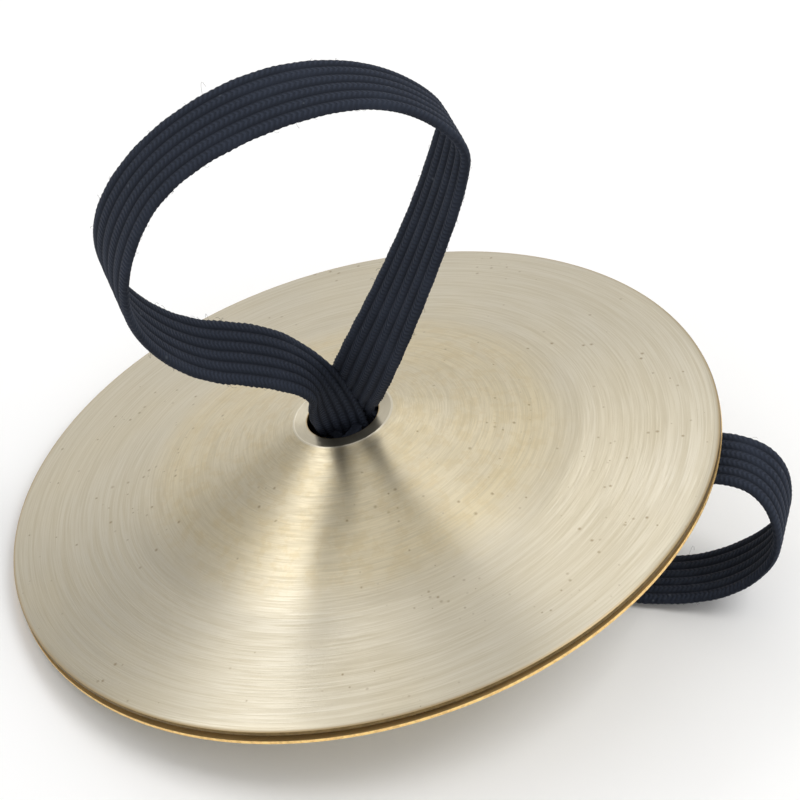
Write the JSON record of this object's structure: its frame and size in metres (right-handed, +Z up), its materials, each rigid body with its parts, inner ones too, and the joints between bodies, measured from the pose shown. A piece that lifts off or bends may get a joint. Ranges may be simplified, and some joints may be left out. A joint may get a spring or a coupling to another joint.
{
  "type": "finger cymbals",
  "caption": "Pair of small spun-brass finger cymbals lying face to face, each with a flat braided elastic finger loop through its centre hole.",
  "frame": {"origin": "on the surface that the pair lies on, under the middle of the two cymbals", "axes": "+Z up; the pair leans to -X on its rim, with the lower elastic under it on the +X side; +Y is away from the viewer"},
  "size_m": [0.0642, 0.06, 0.0549],
  "materials": {
    "brass": "satin, lathe-turned",
    "elastic": "matt braided elastic"
  },
  "bodies": {
    "lower_disc": {"lower_cymbal": "brass"},
    "lower_elastic": {"lower_strap_loop": "elastic", "lower_strap_knot": "elastic", "lower_strap_tails": "elastic"},
    "upper_disc": {"upper_cymbal": "brass"},
    "upper_elastic": {"upper_strap_loop": "elastic", "upper_strap_knot": "elastic", "upper_strap_tails": "elastic"}
  },
  "joints": [
    {"name": "clap", "type": "slide", "parent": "lower_disc", "child": "upper_disc", "axis": [-0.2426, 0.0073, 0.9701], "range_m": [0, 0.04]},
    {"name": "upper_elastic_swivel", "type": "hinge", "parent": "upper_disc", "child": "upper_elastic", "pos_m": [0.00001, 0, 0.00819], "axis": [-0.2426, 0.0073, 0.9701], "continuous": true},
    {"name": "lower_elastic_swivel", "type": "hinge", "parent": "lower_disc", "child": "lower_elastic", "pos_m": [0.0001, 0, 0.00783], "axis": [-0.2499, 0, 0.9683], "continuous": true}
  ]
}
